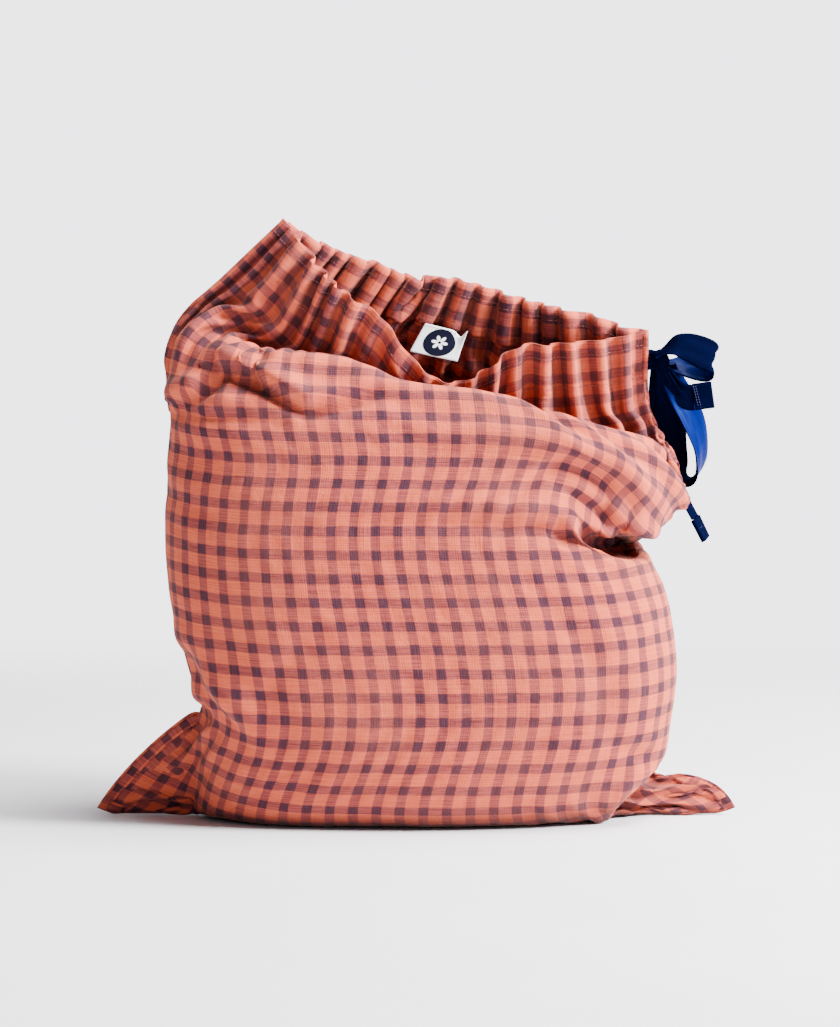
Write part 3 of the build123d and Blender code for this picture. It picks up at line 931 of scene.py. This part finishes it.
def make_label():
    columns, rows = 29, 20
    grid = np.array([
        [label_point(c / (columns - 1), r / (rows - 1)) for c in range(columns)] for r in range(rows)
    ])
    flat_x, flat_y = np.meshgrid(np.linspace(0, 0.028, columns), np.linspace(0, 0.019, rows))
    mesh = grid_mesh("woven_label", grid, np.stack([flat_x, flat_y], axis=-1))
    label = new_object("woven_label", mesh, label_satin)
    thicken(label, 0.00035)
    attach(label, "label")
    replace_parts(label, "label")

    emblem = new_object("printed_disc", emblem_mesh(), label_print)
    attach(emblem, "label")
    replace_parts(emblem, "label_emblem")

    stitches = []
    for k in range(9):
        ends = []
        for u in (0.04 + k * 0.085, 0.04 + k * 0.085 + 0.055):
            ends.append(tuple(label_point(u, 0.95) + Vector((0, -0.0004, 0))))
        stitches.append(ends)
    sewing = new_object("label_sewing", stitch_mesh("label_sewing", stitches, 0.0002), thread_white)
    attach(sewing, "collar")
    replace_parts(sewing, "label_stitching")


def emblem_mesh():
    """A thin disc that follows the label, with its own place as its flat pattern, centred on 0."""
    rings, spokes = 14, 48
    points = []
    flat = []
    for ring in range(rings + 1):
        for spoke in range(spokes):
            angle = 2 * math.pi * spoke / spokes
            reach = ring / rings
            x = math.cos(angle) * reach
            y = math.sin(angle) * reach
            place = label_point(0.50 + x * 0.345, 0.49 + y * 0.46)
            points.append(tuple(place + Vector((0, -0.00012, 0.00004))))
            flat.append((x, y))
    faces = []
    for ring in range(rings):
        for spoke in range(spokes):
            following = (spoke + 1) % spokes
            low = ring * spokes
            faces.append((low + spoke, low + spokes + spoke, low + spokes + following, low + following))
    mesh = bpy.data.meshes.new("printed_disc")
    mesh.from_pydata(points, [], faces)
    layer = mesh.uv_layers.new(name="flat")
    for loop in mesh.loops:
        layer.data[loop.index].uv = flat[loop.vertex_index]
    mesh.update()
    return mesh


make_label()


# ---- ribbon bow -------------------------------------------------------------------
# The routes' control points are millimetres from the knot.
RIBBON_WIDTH = 0.016
RIBBON_THICK = 0.0007


def ribbon_mesh(name, path, width_turns, cup=0.0, width=RIBBON_WIDTH, pinch=None):
    """A ribbon along path. width_turns gives the direction of its width at shares of its length."""
    lengths = np.r_[0, np.cumsum(np.linalg.norm(np.diff(path, axis=0), axis=1))]
    count = max(12, int(lengths[-1] / 0.0009))
    shares = np.linspace(0, 1, count)
    line = np.column_stack([np.interp(shares * lengths[-1], lengths, path[:, k]) for k in range(3)])
    tangent = np.gradient(line, axis=0)
    tangent /= np.linalg.norm(tangent, axis=1, keepdims=True)
    side = smooth_curve([(share, *direction) for share, direction in width_turns], shares)
    side -= tangent * np.sum(side * tangent, axis=1, keepdims=True)
    side /= np.linalg.norm(side, axis=1, keepdims=True)
    face = np.cross(side, tangent)
    widths = np.ones(count) if pinch is None else smooth_curve(pinch, shares)[:, 0]
    strands = np.linspace(-0.5, 0.5, 13)
    offset = strands[None, :, None] * width * widths[:, None, None] * side[:, None]
    bowed = (4 * strands**2)[None, :, None] * cup * face[:, None]
    folds = (np.sin(strands * 14)[None, :] * (1 - widths)[:, None] * 0.0016)[..., None] * face[:, None]
    grid = line[:, None] + offset + bowed + folds
    flat_x, flat_y = np.meshgrid(strands * width, shares * lengths[-1])
    return grid_mesh(name, grid, np.stack([flat_x, flat_y], axis=-1)), line


def route(name, points):
    """The smooth line of a cord through its control points, given in millimetres from the knot."""
    data = bpy.data.curves.new(name, "CURVE")
    data.dimensions = "3D"
    data.resolution_u = 16
    spline = data.splines.new("NURBS")
    spline.points.add(len(points) - 1)
    for control, place in zip(spline.points, points):
        control.co = (*(knot + Vector(place) * MM), 1)
    spline.order_u = 3
    spline.use_endpoint_u = True
    guide = bpy.data.objects.new(name, data)
    mesh = bpy.data.meshes.new_from_object(guide)
    path = np.array([tuple(vertex.co) for vertex in mesh.vertices])
    bpy.data.meshes.remove(mesh)
    bpy.data.objects.remove(guide)
    return path


def ribbon_piece(name, body, node, mesh, thickness=RIBBON_THICK):
    piece = new_object(name, mesh, satin, velvet)
    thicken(piece, thickness, offset=0, material_offset=1)
    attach(piece, body)
    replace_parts(piece, node)
    return piece


HANGING_LOOP = [
    (4, -3, -4), (7, 5, -20), (7, 14, -38), (7.5, 19, -56), (12, 19, -73), (22, 17, -77), (28, 14, -62),
    (23, 12, -40),
    (13, 9, -22), (5, 3, -6),
]
LONG_TAIL = [(1, 7, -4), (3, 21, -24), (5, 31, -50), (11, 33, -73), (20, 32, -90), (25, 31, -99)]
UPPER_LOOP = [
    (-2, -2, 2), (7, -5, 9), (16, -6, 8), (26, -5, 4), (33, -2, 0), (31, 1, -5), (22, 2, -5), (11, 2, -5),
    (4, 0, -4),
]
SHORT_TAIL = [(5, -9, -7), (11, -12, -17), (17, -13, -23), (20, -13, -22.5)]


def make_bow():
    hanging_path = route("hanging_route", HANGING_LOOP)
    turns = [
        (0, (1, 0, 0)), (0.3, (1, 0.1, 0)), (0.42, (0.8, 0.55, 0.3)), (0.52, (0.1, 1, 0.1)),
        (0.62, (0.35, 0.9, -0.1)), (0.8, (0.75, 0.6, 0)), (1, (0.9, 0.3, 0)),
    ]
    pinch = [(0, 0.75), (0.1, 1), (0.9, 1), (1, 0.7)]
    mesh, line = ribbon_mesh("hanging_ribbon", hanging_path, turns, 0.0006, pinch=pinch)
    hanging = ribbon_piece("hanging_ribbon", "hanging_loop", "hanging_loop", mesh)

    tail_path = route("long_tail_route", LONG_TAIL)
    turns = [
        (0, (0.9, 0.3, 0)), (0.4, (0.8, 0.6, 0)), (0.65, (0.5, 0.87, 0)), (0.85, (0.38, 0.92, 0)),
        (1, (0.34, 0.94, 0)),
    ]
    pinch = [(0, 0.7), (0.15, 1), (0.7, 1), (1, 1)]
    mesh, tail_line = ribbon_mesh("long_tail_ribbon", tail_path, turns, 0.0004, pinch=pinch)
    long_tail = ribbon_piece("long_tail_ribbon", "long_tail", "long_tail", mesh)

    hem_start = tail_line[-1]
    hem_end = hem_start + np.array([6.5, 0, -13.0]) * MM
    hem_line = np.linspace(hem_start, hem_end, 12)
    mesh, _ = ribbon_mesh("long_hem", hem_line, [(0, (0.34, 0.94, 0)), (1, (0.3, 0.95, 0))], 0.0003)
    long_hem = ribbon_piece("long_hem", "long_tail", "long_tail_hem", mesh, 0.0024)

    upper_path = route("upper_route", UPPER_LOOP)
    tilt = (0.24, 0.45, 0.86)
    turns = [(0, (0.3, 0.8, 0.3)), (0.3, tilt), (0.7, tilt), (1, (0.3, 0.8, 0.3))]
    pinch = [(0, 0.55), (0.2, 1), (0.85, 1), (1, 0.6)]
    mesh, _ = ribbon_mesh("upper_ribbon", upper_path, turns, 0.0005, pinch=pinch)
    upper = ribbon_piece("upper_ribbon", "upper_loop", "upper_loop", mesh)

    short_path = route("short_route", SHORT_TAIL)
    upright = (-0.25, 0.1, 0.97)
    turns = [(0, (0.6, 0.3, 0.6)), (0.6, upright), (1, upright)]
    pinch = [(0, 0.3), (0.5, 0.5), (0.8, 1), (1, 1)]
    mesh, short_line = ribbon_mesh("short_ribbon", short_path, turns, 0.0002, pinch=pinch)
    short = ribbon_piece("short_ribbon", "short_tail", "short_tail", mesh)
    hem_line = np.linspace(short_line[-1], short_line[-1] + np.array([11.5, 0.5, 1.5]) * MM, 12)
    mesh, _ = ribbon_mesh("short_hem", hem_line, [(0, upright), (1, upright)], 0.0002)
    short_hem = ribbon_piece("short_hem", "short_tail", "short_tail_hem", mesh, 0.0022)

    short_stitches = []
    upright_mm = np.array([-0.25, 0, 0.97]) * MM
    for row in (1.2, 2.6):
        middle = np.array(short_line[-1]) + np.array([row, -1.35, 0.15 * row]) * MM
        for k in range(9):
            foot = k * 1.6 - 7.0
            start = middle + upright_mm * foot
            short_stitches.append((tuple(start), tuple(middle + upright_mm * (foot + 1.0))))
    long_stitches = []
    for k in range(3):
        place = hem_start + np.array([3.4 + 0.1 * k, -6 + 5 * k, -5.5]) * MM
        start = place - np.array([1.4, 0, 0.4]) * MM
        long_stitches.append((tuple(start), tuple(place + np.array([0, 0, 0.8]) * MM)))
    short_sewing = new_object("short_sewing", stitch_mesh("short_sewing", short_stitches), thread_blue)
    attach(short_sewing, "short_tail")
    long_sewing = new_object("long_sewing", stitch_mesh("long_sewing", long_stitches), thread_blue)
    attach(long_sewing, "long_tail")

    knot_piece = make_knot()
    run = make_run()


def make_knot():
    """The ribbon wraps once round the roots of the loops and tails."""
    axis = Vector((0.35, 0, -0.94)).normalized()
    angles = np.linspace(0, 2 * math.pi, 49)
    strands = np.linspace(-1, 1, 13)
    forward = Vector((0, -1, 0))
    across_axis = axis.cross(forward)
    grid = np.zeros((len(angles), len(strands), 3))
    for i, angle in enumerate(angles):
        for j, strand in enumerate(strands):
            reach = 0.0044 * (1 - 0.35 * strand**2) * (1 + 0.10 * math.sin(3 * angle + 2 * strand))
            spoke = forward * math.cos(angle) * 1.25 + across_axis * math.sin(angle)
            grid[i, j] = knot + axis * strand * 0.0062 + spoke * reach + Vector((0.001, 0, -0.001))
    flat_x, flat_y = np.meshgrid(strands * RIBBON_WIDTH / 2, angles * 0.006)
    mesh = grid_mesh("knot_ribbon", grid, np.stack([flat_x, flat_y], axis=-1))
    return ribbon_piece("knot_ribbon", "bow", "bow_knot", mesh)


def make_run():
    """The two strands between the knot and the channel. They reach as far into it as the ribbon pulls out."""
    strands = []
    for name, shape, out in (("front_strand", front_shape, front_out), ("back_strand", back_shape, back_out)):
        columns = slice(-STRAND_COLUMNS, -1)
        inside = lining_strip(name, shape, out, CHANNEL_ROWS, columns, 0.0010, velvet, bends=False)
        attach(inside, "bow")
        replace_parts(inside, "ribbon_run")
        strands.append(inside)
    height = RIM - (UPPER_STITCH + LOWER_STITCH) / 2
    exit_point = cloth_point(front_shape, 0.998, height)
    path = np.linspace(exit_point, np.array(knot), 20)
    upright = (-0.1, 0.35, 0.95)
    pinch = [(0, 0.8), (0.5, 0.7), (1, 0.5)]
    mesh, _ = ribbon_mesh("exit_ribbon", path, [(0, upright), (1, upright)], 0.001, pinch=pinch)
    strands.append(ribbon_piece("exit_ribbon", "bow", "ribbon_run", mesh, 0.0016))
    return strands


make_bow()


# ---- studio ---------------------------------------------------------------------
DIM_LIGHT = 0.02  # the world's strength at the left
SIDE_LIGHT = 0.7  # and at the right
BACKDROP_LIGHT = 3.9  # and behind the sack, at its sides' horizon and below the floor's edge
KEY_POWER = 180  # watts
TOP_POWER = 105


def make_studio():
    """A white floor that fades into a bright backdrop: close behind the sack, further off all round."""
    floor_mesh = bpy.data.meshes.new("floor")
    half, far = 3.0, 0.95
    corners = [(-half, -half, 0), (half, -half, 0), (half, far, 0), (-half, far, 0)]
    floor_mesh.from_pydata(corners, [], [(0, 1, 2, 3)])
    n = Nodes("floor")
    place = n.add("ShaderNodeTexCoord").outputs["Object"]
    parts = n.add("ShaderNodeSeparateXYZ")
    n.link(place, parts.inputs[0])
    mottle = n.ramp(n.noise(place, 6, 3), 0.3, 0.7)
    n.link(n.mix(mottle, colour(236, 236, 239), colour(240, 240, 243)), n.shader.inputs["Base Color"])
    n.surface({"Roughness": 0.75, "Specular IOR Level": 0.2})
    clear = n.add("ShaderNodeBsdfTransparent")
    fade = n.add("ShaderNodeMixShader")
    length = n.add("ShaderNodeVectorMath", operation="LENGTH")
    n.link(place, length.inputs[0])
    behind = n.ramp(parts.outputs["Y"], 0.45, 0.93)
    n.link(n.math("MAXIMUM", behind, n.ramp(length.outputs["Value"], 1.3, 2.4)), fade.inputs[0])
    n.link(n.shader.outputs[0], fade.inputs[1])
    n.link(clear.outputs[0], fade.inputs[2])
    n.link(fade.outputs[0], n.tree.nodes["Material Output"].inputs["Surface"])
    floor = new_object("floor", floor_mesh, n.material)

    world = bpy.data.worlds.new("studio")
    bpy.context.scene.world = world
    world.use_nodes = True
    tree = world.node_tree
    background = tree.nodes["Background"]
    where = tree.nodes.new("ShaderNodeTexCoord")
    parts = tree.nodes.new("ShaderNodeSeparateXYZ")
    tree.links.new(where.outputs["Generated"], parts.inputs[0])

    def fade(value, start, end, low, high):
        node = tree.nodes.new("ShaderNodeMapRange")
        node.interpolation_type = "SMOOTHSTEP"
        tree.links.new(value, node.inputs["Value"])
        for socket, number in zip(("From Min", "From Max", "To Min", "To Max"), (start, end, low, high)):
            node.inputs[socket].default_value = number
        return node.outputs["Result"]

    def combine(operation, first, second=None):
        node = tree.nodes.new("ShaderNodeMath")
        node.operation = operation
        tree.links.new(first, node.inputs[0])
        if second is not None:
            tree.links.new(second, node.inputs[1])
        return node.outputs[0]

    left_to_right = fade(parts.outputs["X"], -0.3, 0.8, DIM_LIGHT, SIDE_LIGHT)
    behind = fade(parts.outputs["Y"], 0.85, 0.97, 0.0, BACKDROP_LIGHT)
    beside = fade(combine("ABSOLUTE", parts.outputs["X"]), 0.975, 0.99, 0.0, BACKDROP_LIGHT)
    below = fade(parts.outputs["Z"], 0.0, -0.05, 0.0, BACKDROP_LIGHT)
    strength = combine(
        "MAXIMUM", combine("MAXIMUM", left_to_right, behind), combine("MAXIMUM", beside, below)
    )
    tree.links.new(strength, background.inputs["Strength"])
    background.inputs["Color"].default_value = colour(248, 247, 255)

    def lamp(name, place, size, power):
        data = bpy.data.lights.new(name, "AREA")
        data.shape = "SQUARE"
        data.size = size
        data.energy = power
        light = bpy.data.objects.new(name, data)
        bpy.context.scene.collection.objects.link(light)
        light.location = place
        light.rotation_euler = (Vector((0, 0, 0.15)) - Vector(place)).to_track_quat("-Z", "Y").to_euler()

    lamp("key", (1.75, -0.55, 1.15), 0.5, KEY_POWER)
    lamp("top", (0.65, -0.05, 1.9), 1.1, TOP_POWER)


make_studio()
